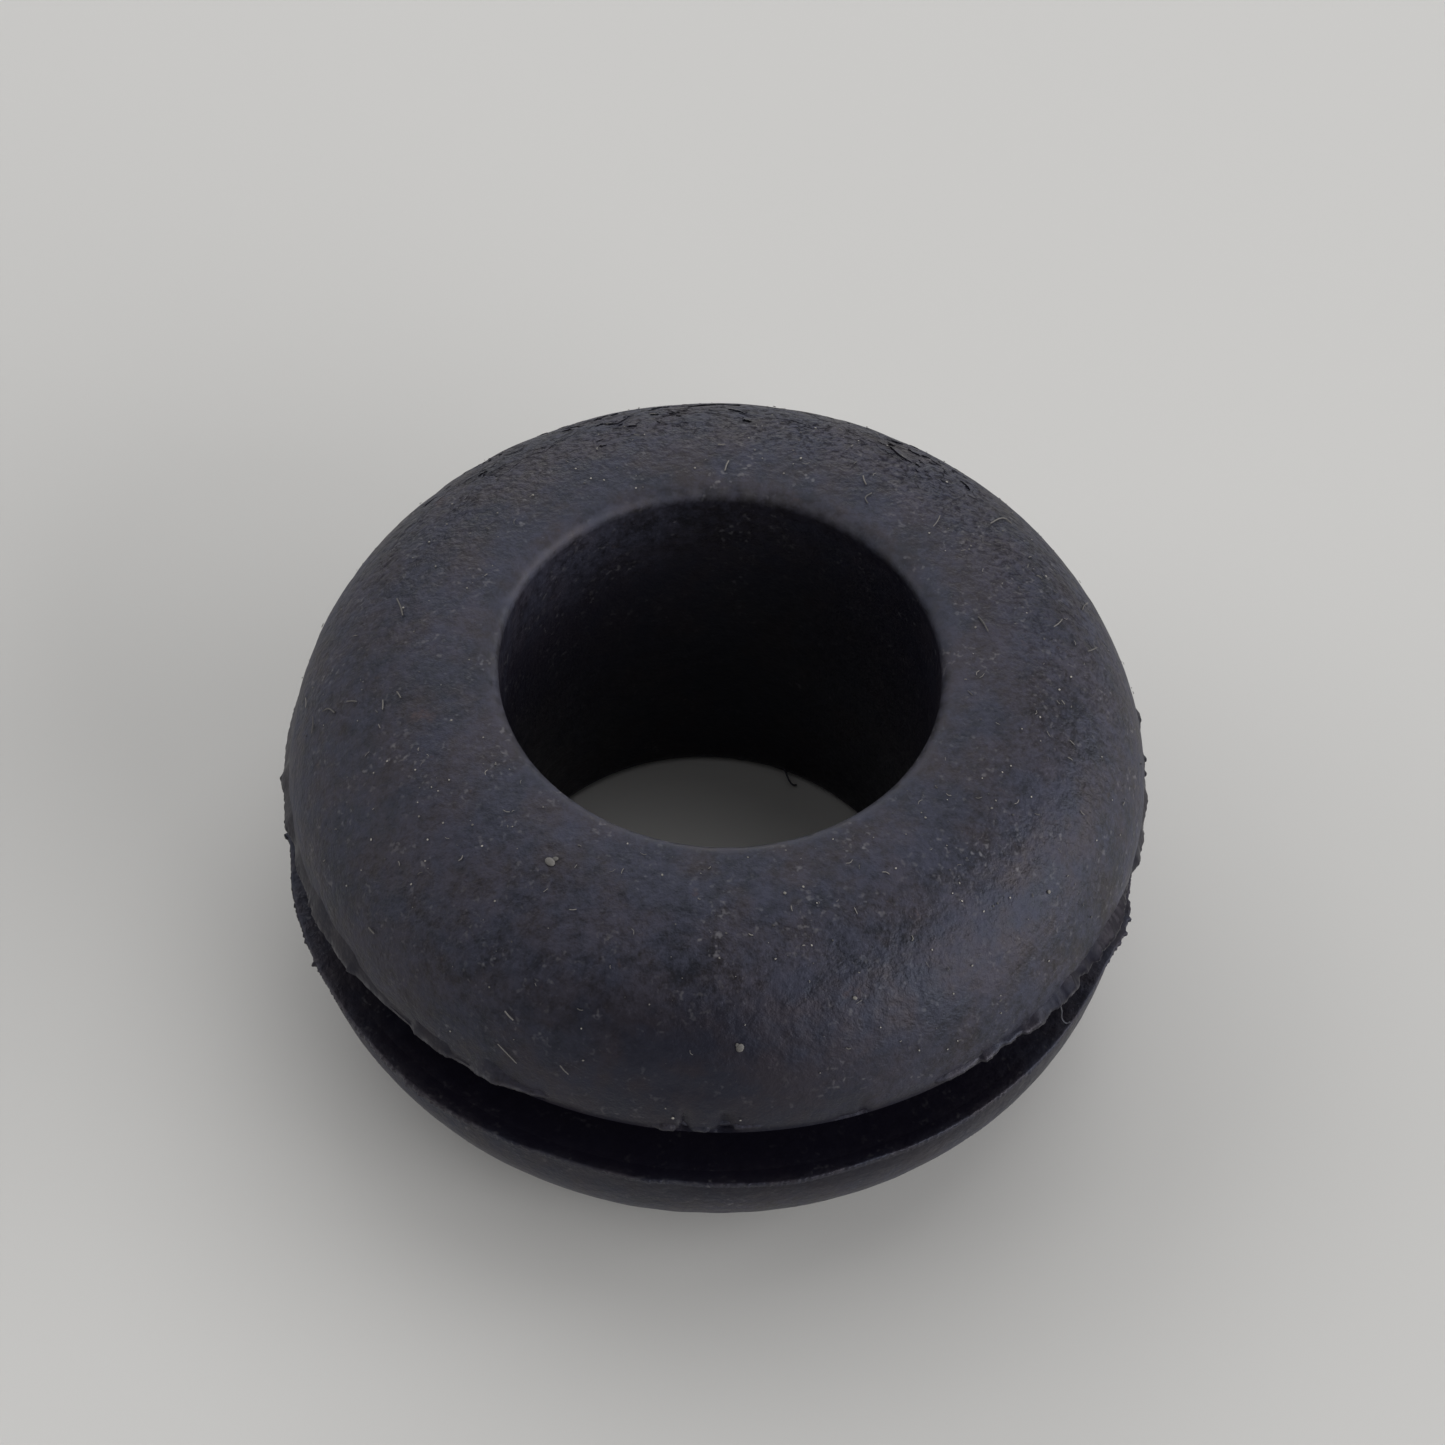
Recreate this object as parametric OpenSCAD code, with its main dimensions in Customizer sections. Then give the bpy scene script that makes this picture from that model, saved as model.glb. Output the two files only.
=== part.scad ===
/* [Flanges] */
// Outside diameter of both flanges, measured on the rubber behind the flash
flange_d = 25.1; // [24:0.1:32]
// Thickness of each flange, from the groove to its outer face
flange_t = 5.35; // [3:0.05:5.8]
// Height of the straight side between the rounded shoulder and the groove
side_land = 0.4; // [0.35:0.05:1]
// Radius on the edge where that side meets the wall of the groove
lip_r = 0.15; // [0.05:0.05:0.2]

/* [Bore] */
// Diameter of the through bore
bore_d = 12.7; // [8:0.1:13.5]
// Radius of the soft edge round each mouth of the bore
bore_edge_r = 0.45; // [0.1:0.05:0.8]

/* [Groove] */
// Diameter at the floor of the groove, which is the panel hole the grommet fits
groove_d = 19; // [15:0.1:22]
// Width of the groove, which is the thickest panel it takes
groove_w = 2.5; // [1:0.1:6]
// Radius in the two corners of the groove's floor
groove_root_r = 0.4; // [0.1:0.05:0.45]

/* [Moulding flash] */
// Thickness of the flash left round each flange, flush with the wall of the groove
flash_t = 0.2; // [0.1:0.05:0.3]
// Mean reach of the flash beyond the flange
flash_w = 0.25; // [0.1:0.01:0.4]
// First edge of the stretch of upper lip where the flash is torn off, in degrees
torn_from = -112; // [-170:1:-105]
// Last edge of that stretch, in degrees
torn_to = -52; // [-85:1:0]
// Direction of the larger of the two tabs of flash still hanging in that stretch, in degrees
tab_at = -94; // [-170:1:0]
// Reach of that tab beyond the flange
tab_w = 0.15; // [0.1:0.05:0.6]
// Degrees from that tab to the smaller one
tab_gap = 5; // [4:1:20]
// Radius of the nick torn into the lip just past each tab
nick_r = 0.2; // [0.1:0.05:0.3]

/* [Hidden] */
$fn = 96;

flange_r = flange_d / 2;
bore_r = bore_d / 2;
groove_r = groove_d / 2;
shoulder_r = flange_t - side_land;
height = 2 * flange_t + groove_w;

// Flash: the ring roots this far inside the flange, never reaches out less than this where
// it is left on, and ends this far behind the rounded lip where it is torn off
flash_root = 0.5;
least_flash = 0.03;
torn_back = 0.05;
// Points round each ring, and the degrees over which the torn stretch and the tab run out
flash_steps = 180;
tear_run = 6;
tab_half_angle = 2.2;
small_tab = 0.7;
nick_angle = 2.8;
// How strongly the edge waves, and how strongly its teeth differ from point to point
wave = 0.3;
teeth = 0.45;

// A square corner with its inside quarter rounded away, at the origin
module cove(r) {
    difference() {
        square(r);
        translate([r, r]) circle(r);
    }
}

// One flange's section: flat land at the bore, rounded shoulder, straight side.
// Its groove wall lies on y = 0 and its outer face on y = flange_t.
module flange_section() {
    difference() {
        union() {
            translate([bore_r, 0]) square([flange_r - shoulder_r - bore_r, flange_t]);
            translate([bore_r, 0]) square([flange_r - bore_r, side_land]);
            translate([flange_r - shoulder_r, side_land]) intersection() {
                square(shoulder_r);
                circle(shoulder_r);
            }
        }
        translate([bore_r, flange_t]) mirror([0, 1]) cove(bore_edge_r);
        translate([flange_r, 0]) mirror([1, 0]) cove(lip_r);
    }
}

// Half of the neck's section, from the middle of the groove at y = 0 to its wall
module neck_section() {
    translate([bore_r, 0]) square([groove_r - bore_r, groove_w / 2]);
    translate([groove_r, groove_w / 2]) mirror([0, 1]) cove(groove_root_r);
}

module half_section() {
    neck_section();
    translate([0, groove_w / 2]) flange_section();
}

// The rubber itself, the same above and below the middle of the groove
module body() {
    translate([0, 0, height / 2]) rotate_extrude() {
        half_section();
        mirror([0, 1]) half_section();
    }
}

// 0 inside the torn stretch and 1 well outside it
function left_on(a) = max(0, min(1, max(torn_from - a, a - torn_to) / tear_run));
function one_tab(a, at, reach) = reach * max(0, 1 - pow((a - at) / tab_half_angle, 2));
function tabs(a) = one_tab(a, tab_at, tab_w) + one_tab(a, tab_at + tab_gap, small_tab * tab_w);
function wavy(a, turn) = wave * (sin(7 * a + turn) + sin(17 * a + 2 * turn)) / 2;
function torn(a) = left_on(a) == 0 && tabs(a) == 0;
function upper_reach(a, tooth) = torn(a)
    ? -lip_r - torn_back
    : max(least_flash, tabs(a), left_on(a) * flash_w * (1 + wavy(a, 0) + teeth * tooth));
function lower_reach(a, tooth) =
    max(least_flash, 0.75 * flash_w * (1 + wavy(a, 140) + teeth * tooth));

// A ring of flash, flat on z = 0 and rooted inside the flange, from its reach at each point
module flash_ring(reaches) {
    step = 360 / flash_steps;
    linear_extrude(flash_t) difference() {
        polygon([for (i = [0 : flash_steps - 1])
            (flange_r + reaches[i]) * [cos(i * step - 180), sin(i * step - 180)]]);
        circle(flange_r - flash_root);
    }
}

module upper_flash() {
    tooth = rands(-1, 1, flash_steps, 11);
    flash_ring([for (i = [0 : flash_steps - 1]) upper_reach(i * 360 / flash_steps - 180, tooth[i])]);
}

module lower_flash() {
    tooth = rands(-1, 1, flash_steps, 23);
    flash_ring([for (i = [0 : flash_steps - 1]) lower_reach(i * 360 / flash_steps - 180, tooth[i])]);
}

// What is torn out of the upper lip beside the tabs: its wall of the groove lies on z = 0
module nicks() {
    for (at = [tab_at, tab_at + tab_gap])
        rotate(at + nick_angle) translate([flange_r + nick_r / 4, 0, -nick_r])
            cylinder(r = nick_r, h = side_land + 2 * nick_r, $fn = 32);
}

module grommet() {
    color("#3b3a3f") difference() {
        union() {
            body();
            translate([0, 0, flange_t + groove_w]) upper_flash();
            translate([0, 0, flange_t - flash_t]) lower_flash();
        }
        translate([0, 0, flange_t + groove_w]) nicks();
    }
}

grommet();
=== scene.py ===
import math
import random

import bmesh
import bpy
from mathutils import Matrix, Vector, noise


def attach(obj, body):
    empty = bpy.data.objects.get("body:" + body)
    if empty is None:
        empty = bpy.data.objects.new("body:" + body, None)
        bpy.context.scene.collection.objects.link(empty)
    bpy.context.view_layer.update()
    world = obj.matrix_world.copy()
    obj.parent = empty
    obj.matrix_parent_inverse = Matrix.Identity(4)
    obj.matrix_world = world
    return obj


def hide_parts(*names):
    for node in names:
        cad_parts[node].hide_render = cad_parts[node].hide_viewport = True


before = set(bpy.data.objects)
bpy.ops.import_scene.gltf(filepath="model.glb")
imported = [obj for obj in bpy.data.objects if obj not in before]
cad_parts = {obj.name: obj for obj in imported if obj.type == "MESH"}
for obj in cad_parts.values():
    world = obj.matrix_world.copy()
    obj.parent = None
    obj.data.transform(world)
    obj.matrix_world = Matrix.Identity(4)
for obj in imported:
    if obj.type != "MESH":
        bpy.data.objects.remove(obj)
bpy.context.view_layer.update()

mm = 0.001  # in metres

# Camera. Millimetres from the foot of the bore's axis, then turns in degrees.
cameraView = {
    "place": (0.0, -74.776, 107.078),
    "heading": 0.109,
    "down": 52.298,
    "roll": 3.122,
    "lens": 104.59,
    "sensor": 36.0,
    "clip": (0.01, 20.0),  # metres
}


def makeCamera():
    heading = math.radians(cameraView["heading"])
    down = math.radians(cameraView["down"])
    roll = math.radians(cameraView["roll"])
    ahead = Vector((math.sin(heading) * math.cos(down), math.cos(heading) * math.cos(down), -math.sin(down)))
    right = ahead.cross(Vector((0, 0, 1))).normalized()
    up = right.cross(ahead)
    rolledRight = right * math.cos(roll) + up * math.sin(roll)
    rolledUp = up * math.cos(roll) - right * math.sin(roll)
    data = bpy.data.cameras.new("viewCamera")
    data.sensor_width = cameraView["sensor"]
    data.lens = cameraView["lens"]
    data.clip_start, data.clip_end = cameraView["clip"]
    camera = bpy.data.objects.new("viewCamera", data)
    bpy.context.collection.objects.link(camera)
    turn = Matrix((rolledRight, rolledUp, -ahead)).transposed().to_4x4()
    camera.matrix_world = Matrix.Translation(Vector(cameraView["place"]) * mm) @ turn
    bpy.context.scene.camera = camera


makeCamera()
print("camera placed")


def toLinear(hexColour):
    levels = [int(hexColour[i:i + 2], 16) / 255 for i in (1, 3, 5)]
    return tuple(v / 12.92 if v <= 0.04045 else ((v + 0.055) / 1.055) ** 2.4 for v in levels) + (1.0,)


# A value is a setting's or a socket's, by name or number, and a node given as one means its first output
def addNode(tree, kind, values=None):
    node = tree.nodes.new(kind)
    for name, value in (values or {}).items():
        if not (isinstance(name, int) or name in node.inputs):
            setattr(node, name, value)
        elif isinstance(value, bpy.types.NodeSocket):
            tree.links.new(value, node.inputs[name])
        elif isinstance(value, bpy.types.Node):
            tree.links.new(value.outputs[0], node.inputs[name])
        else:
            node.inputs[name].default_value = toLinear(value) if isinstance(value, str) else value
    return node


def between(ends):
    return {"From Min": ends[0], "From Max": ends[1]}


def newMaterial(name):
    material = bpy.data.materials.new(name)
    material.use_nodes = True
    material.node_tree.nodes.clear()
    return material, material.node_tree


# Where each finish and the painted shade lie, written on the mesh from 0 to 1 and read by the rubber
faceLayers = ("paintedShade", "wornAndGlint", "flaky", "pitted", "smeared", "polished")

# Moulded carbon black rubber: a dull, nearly black solid under a blue-grey film. Widths and heights in
# millimetres. A pair is where on a pattern something starts to show and where it shows in full.
rubberFinish = {
    "colour": "#0d0c0e",
    "bloomColour": "#2e2e39",
    # the colour of the painted shade in the groove, the bore, the near edge, the fins and the clefts
    "paintedShadeColour": "#110f18",
    "wornAndGlintColour": "#5b5a5e",
    "dustColour": "#555457",
    "stainColour": "#3a2d2b",
    "roughness": 0.57,
    "ior": 1.5,
    "specular": 0.42,
    "grooveSpecular": 0.13,
    "coolTint": "#d9e1ff",
    "warmTint": "#f3e9f6",
    # each pattern's width, then the detail and roughness of its noise
    "patterns": {
        "tint": (1.4, 3.0, 0.6),
        "bloom": (2.6, 4.0, 0.6),
        "mottle": (0.42, 3.0, 0.75),
        "specks": (0.1, 1.0, 0.6),
        "stain": (0.6, 3.0, 0.7),
        "dust": (0.18, 1.0, 0.5),
        "dustPatch": (1.1, 3.0, 0.5),
        "pits": (0.2, 2.0, 0.6),
        "peel": (0.4, 3.0, 0.6),
        "grain": (0.13, 2.0, 0.7),
    },
    "flakeWidth": 0.9,
    "flakeHeight": 0.13,
    "pitHeight": 0.09,
    "peelHeight": 0.08,
    "grainHeight": 0.011,
    "mottleShare": 1.6,
    "speckShare": 0.45,
    "filmShows": (1.245, 1.805),
    "smearShare": 0.22,
    "stainShows": (0.67, 0.8),
    "stainMost": 0.7,
    "flakeShows": (0.53, 0.57),
    # painted shade along the cracks and in the pits
    "cleftAt": 0.54,
    "cleftHalfWidth": 0.02,
    "pitShadeShows": (0.5, 0.38),
    "pitShadeMost": 0.9,
    "paintedShadeDarkens": 2.0,
    "dustShows": (0.6, 0.75),
    "dustPatchShows": (0.45, 0.7),
    "dustInPaintedShade": 0.12,
    "filmDulls": 0.08,
    "grooveSmooths": 0.18,
    "glossFadesFrom": 0.5,  # past this much painted shade the gloss fades
    "glossInCleft": 0.35,
    "reliefWherePolished": 0.2,
    "tintShows": (0.4, 0.6),
}


def makeRubber(name, finish):
    f = finish
    material, tree = newMaterial(name)
    place = addNode(tree, "ShaderNodeTexCoord").outputs["Object"]
    paintedShade, wornAndGlint, flaky, pitted, smeared, polished = (
        addNode(tree, "ShaderNodeAttribute", {"attribute_name": layer}).outputs["Fac"]
        for layer in faceLayers)
    unrolled = addNode(tree, "ShaderNodeAttribute", {"attribute_name": "unrolled"}).outputs["Vector"]

    patterns = {
        kind: addNode(tree, "ShaderNodeTexNoise", {
            "Vector": place, "Scale": 1 / (width * mm), "Detail": detail, "Roughness": roughness})
        for kind, (width, detail, roughness) in f["patterns"].items()}

    # Bloom: the dull film that rises on old rubber, in soft patches with a finer mottle and specks in it
    patches = addNode(tree, "ShaderNodeMath", {
        "operation": "MULTIPLY_ADD", 0: patterns["mottle"], 1: f["mottleShare"], 2: patterns["bloom"]})
    allFilm = addNode(tree, "ShaderNodeMath", {
        "operation": "MULTIPLY_ADD", 0: patterns["specks"], 1: f["speckShare"], 2: patches})
    film = addNode(tree, "ShaderNodeMapRange", {"Value": allFilm, **between(f["filmShows"])})
    colour = addNode(tree, "ShaderNodeMix", {
        "data_type": "RGBA", 0: film, 6: f["colour"], 7: f["bloomColour"]})

    # Brown smears of earth rubbed into the bloom, faint all over and plainer where the face is smeared
    rubbed = addNode(tree, "ShaderNodeMath", {
        "operation": "MULTIPLY_ADD", 0: smeared, 1: f["smearShare"], 2: patterns["stain"]})
    stain = addNode(tree, "ShaderNodeMapRange", {
        "Value": rubbed, **between(f["stainShows"]), "To Max": f["stainMost"]})
    colour = addNode(tree, "ShaderNodeMix", {
        "data_type": "RGBA", 0: stain, 6: colour.outputs[2], 7: f["stainColour"]})

    # Perished skin on the far shoulder: thin flakes that stand up, with painted shade in the clefts round
    # them and in the pits
    skin = addNode(tree, "ShaderNodeTexNoise", {
        "Vector": unrolled, "Scale": 1 / f["flakeWidth"], "Detail": 4.0, "Roughness": 0.6})
    raised = addNode(tree, "ShaderNodeMapRange", {"Value": skin, **between(f["flakeShows"])})
    flakes = addNode(tree, "ShaderNodeMath", {"operation": "MULTIPLY", 0: raised, 1: flaky})
    edge = addNode(tree, "ShaderNodeMath", {
        "operation": "COMPARE", 0: skin, 1: f["cleftAt"], 2: f["cleftHalfWidth"]})
    cracked = addNode(tree, "ShaderNodeMath", {"operation": "MULTIPLY", 0: edge, 1: flaky})
    pitShade = addNode(tree, "ShaderNodeMapRange", {
        "Value": patterns["pits"], **between(f["pitShadeShows"]), "To Max": f["pitShadeMost"]})
    cleftShade = addNode(tree, "ShaderNodeMath", {
        "operation": "MULTIPLY_ADD", 0: pitShade, 1: pitted, 2: cracked})

    # Painted shade: deep in the groove and the bore, on the near edge and the fins, and down in the clefts,
    # the colour goes to the dark shade colour
    dark = addNode(tree, "ShaderNodeMath", {
        "operation": "MULTIPLY_ADD", 0: paintedShade, 1: f["paintedShadeDarkens"], 2: cleftShade})
    shade = addNode(tree, "ShaderNodeMapRange", {"Value": dark})
    colour = addNode(tree, "ShaderNodeMix", {
        "data_type": "RGBA", 0: shade, 6: colour.outputs[2], 7: f["paintedShadeColour"]})

    # Torn and rubbed edges and dust go grey; along the lip edges the grey is partly a painted highlight
    colour = addNode(tree, "ShaderNodeMix", {
        "data_type": "RGBA", 0: wornAndGlint, 6: colour.outputs[2], 7: f["wornAndGlintColour"]})

    # Dust: pale grains too fine to model, gathered in loose patches and scarce in the groove and the bore
    spots = addNode(tree, "ShaderNodeMapRange", {"Value": patterns["dust"], **between(f["dustShows"])})
    gathered = addNode(tree, "ShaderNodeMapRange", {
        "Value": patterns["dustPatch"], **between(f["dustPatchShows"])})
    lying = addNode(tree, "ShaderNodeMath", {"operation": "MULTIPLY", 0: spots, 1: gathered})
    settling = addNode(tree, "ShaderNodeMapRange", {
        "Value": paintedShade, "To Min": 1.0, "To Max": f["dustInPaintedShade"]})
    dust = addNode(tree, "ShaderNodeMath", {"operation": "MULTIPLY", 0: lying, 1: settling})
    colour = addNode(tree, "ShaderNodeMix", {
        "data_type": "RGBA", 0: dust, 6: colour.outputs[2], 7: f["dustColour"]})

    # The film dulls the face; the groove was formed by a polished core, so it is smoother, and the face is
    # made smoother wherever shade is painted
    dull = addNode(tree, "ShaderNodeMapRange", {
        "Value": film, "To Min": f["roughness"] - f["filmDulls"],
        "To Max": f["roughness"] + f["filmDulls"]})
    rough = addNode(tree, "ShaderNodeMath", {
        "operation": "MULTIPLY_ADD", 0: paintedShade, 1: -f["grooveSmooths"], 2: dull})

    # Little light gets back out of a pit or a cleft
    shine = addNode(tree, "ShaderNodeMapRange", {
        "Value": paintedShade, "From Min": f["glossFadesFrom"], "To Min": f["specular"],
        "To Max": f["grooveSpecular"]})
    openness = addNode(tree, "ShaderNodeMapRange", {
        "Value": cleftShade, "To Min": 1.0, "To Max": f["glossInCleft"]})
    gloss = addNode(tree, "ShaderNodeMath", {"operation": "MULTIPLY", 0: shine, 1: openness})

    # Orange peel and fine grain off the mould's face, faint in the groove and the bore, and the pits and
    # flakes where the skin perished
    smoothed = addNode(tree, "ShaderNodeMath", {"operation": "MAXIMUM", 0: polished, 1: paintedShade})
    relief = addNode(tree, "ShaderNodeMapRange", {
        "Value": smoothed, "To Min": 1.0, "To Max": f["reliefWherePolished"]})
    bumps = [
        (f["peelHeight"], relief, patterns["peel"]), (f["pitHeight"], pitted, patterns["pits"]),
        (f["flakeHeight"], 1.0, flakes), (f["grainHeight"], relief, patterns["grain"])]
    below = {}
    for height, strength, pattern in bumps:
        bump = addNode(tree, "ShaderNodeBump", {
            "Distance": height * mm, "Strength": strength, "Height": pattern, **below})
        below = {"Normal": bump}

    # The film scatters a little blue here and a little violet there
    cool = addNode(tree, "ShaderNodeMapRange", {"Value": patterns["tint"], **between(f["tintShows"])})
    tint = addNode(tree, "ShaderNodeMix", {
        "data_type": "RGBA", 0: cool, 6: f["warmTint"], 7: f["coolTint"]})

    shader = addNode(tree, "ShaderNodeBsdfPrincipled", {
        "IOR": f["ior"], "Specular Tint": tint.outputs[2], "Specular IOR Level": gloss,
        "Base Color": colour.outputs[2], "Roughness": rough, **below})
    addNode(tree, "ShaderNodeOutputMaterial", {"Surface": shader})
    return material


# Cotton lint and house dust: pale, rough and without any shine. Each fibre and grain is a little lighter
# or darker than the next. Widths and heights in millimetres.
lintFinish = {
    "darkColour": "#363537",
    "paleColour": "#a19d97",
    "roughness": 0.85,
    "specular": 0.3,
    "fluffWidth": 0.05,  # the real fluff is finer, drawn as coarse as a fibre is thick
    "fluffHeight": 0.01,
}


def makeLint(name, finish):
    material, tree = newMaterial(name)
    pale = addNode(tree, "ShaderNodeAttribute", {"attribute_name": "pale"}).outputs["Fac"]
    place = addNode(tree, "ShaderNodeTexCoord").outputs["Object"]
    fluff = addNode(tree, "ShaderNodeTexNoise", {
        "Vector": place, "Scale": 1 / (finish["fluffWidth"] * mm), "Detail": 2.0})
    colour = addNode(tree, "ShaderNodeMix", {
        "data_type": "RGBA", 0: pale, 6: finish["darkColour"], 7: finish["paleColour"]})
    fluffBump = addNode(tree, "ShaderNodeBump", {
        "Distance": finish["fluffHeight"] * mm, "Height": fluff})
    shader = addNode(tree, "ShaderNodeBsdfPrincipled", {
        "Roughness": finish["roughness"], "Specular IOR Level": finish["specular"],
        "Base Color": colour.outputs[2], "Normal": fluffBump})
    addNode(tree, "ShaderNodeOutputMaterial", {"Surface": shader})
    return material


# Matt bench top. Size in metres.
floorFinish = {
    "colour": "#c6c5c3",
    "roughness": 0.9,
    "specular": 0.2,
    "size": 3.0,
}


def makeFloor():
    material, tree = newMaterial("paleFloorMatt")
    shader = addNode(tree, "ShaderNodeBsdfPrincipled", {
        "Base Color": floorFinish["colour"], "Roughness": floorFinish["roughness"],
        "Specular IOR Level": floorFinish["specular"]})
    addNode(tree, "ShaderNodeOutputMaterial", {"Surface": shader})
    bm = bmesh.new()
    bmesh.ops.create_grid(bm, x_segments=1, y_segments=1, size=floorFinish["size"] / 2)
    mesh = bpy.data.meshes.new("floor")
    bm.to_mesh(mesh)
    bm.free()
    mesh.materials.append(material)
    floor = bpy.data.objects.new("floor", mesh)
    bpy.context.collection.objects.link(floor)


weldGap = 0.0001  # millimetres
sharpAngle = 35


def smoothStep(low, high, value):
    t = min(1, max(0, (value - low) / (high - low)))
    return t * t * (3 - 2 * t)


def fromPairs(pairs, value):
    for (a, va), (b, vb) in zip(pairs, pairs[1:]):
        if a <= value <= b:
            return va + (vb - va) * smoothStep(a, b, value)
    return pairs[-1][1]


def joinRing(bm):
    count = len(bm.verts)
    verts = list(bm.verts)
    for i in range(count):
        bm.edges.new((verts[i], verts[(i + 1) % count]))


def roundCorner(bm, place, radius, steps):
    corner = min(bm.verts, key=lambda v: (v.co - place).length)
    bmesh.ops.bevel(
        bm, geom=[corner], offset=radius, offset_type="OFFSET", segments=steps, profile=0.5,
        affect="VERTICES", material=-1)


def cutRuns(bm, longest):
    for edge in list(bm.edges):
        cuts = int(edge.calc_length() / longest)
        if cuts > 0:
            bmesh.ops.subdivide_edges(bm, edges=[edge], cuts=cuts)


# A short spin, then copies of it turned on, each time doubling what is there
def turnRound(bm, steps, doublings):
    span = math.tau / 2 ** doublings
    bmesh.ops.spin(
        bm, geom=bm.verts[:] + bm.edges[:], cent=(0, 0, 0), axis=(0, 0, 1), angle=span, steps=steps)
    for i in range(doublings):
        made = bmesh.ops.duplicate(bm, geom=bm.verts[:] + bm.edges[:] + bm.faces[:])["geom"]
        bmesh.ops.rotate(
            bm, verts=[g for g in made if isinstance(g, bmesh.types.BMVert)],
            matrix=Matrix.Rotation(span * 2 ** i, 3, "Z"))
    bmesh.ops.remove_doubles(bm, verts=bm.verts, dist=weldGap)
    bmesh.ops.recalc_face_normals(bm, faces=bm.faces)


def finishPiece(bm, name, material):
    bmesh.ops.scale(bm, vec=(mm, mm, mm), verts=bm.verts)
    mesh = bpy.data.meshes.new(name)
    bm.to_mesh(mesh)
    bm.free()
    mesh.shade_smooth()
    mesh.set_sharp_from_angle(angle=math.radians(sharpAngle))
    mesh.materials.append(material)
    piece = bpy.data.objects.new(name, mesh)
    bpy.context.collection.objects.link(piece)
    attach(piece, "root")
    print(name, "triangles", sum(len(p.vertices) - 2 for p in mesh.polygons))
    return piece


# Sizes in millimetres
grommetSizes = {
    "flangeDiameter": 25.1,
    "flangeHeight": 5.35,
    "sideLand": 0.4,
    "boreDiameter": 12.7,
    "boreEdgeRadius": 0.45,
    "grooveDiameter": 19.0,
    "grooveWidth": 2.5,
    "grooveRootRadius": 0.4,
    "lipRadius": 0.15,
    # how finely it is cut: round the axis, over the shoulders and round the small edges
    "turnSteps": 40,
    "doublings": 4,
    "shoulderSteps": 72,
    "lowerShoulderSteps": 24,
    "edgeSteps": 5,
    "upperEdgeSteps": 6,
    "rootSteps": 4,
    "lipSteps": 4,
    "longestRun": 0.75,
    "extraRows": (0.25, 0.34),  # heights over the upper lip, where the painted shade on its land changes
}

flangeR = grommetSizes["flangeDiameter"] / 2
boreR = grommetSizes["boreDiameter"] / 2
lowWall = grommetSizes["flangeHeight"]
highWall = lowWall + grommetSizes["grooveWidth"]
topFace = highWall + grommetSizes["flangeHeight"]
shoulderR = grommetSizes["flangeHeight"] - grommetSizes["sideLand"]
landR = flangeR - shoulderR
mouthR = boreR + 0.4  # nearer the axis than this is the bore
wallGap = 0.01  # so that the groove's walls count as in it

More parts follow.
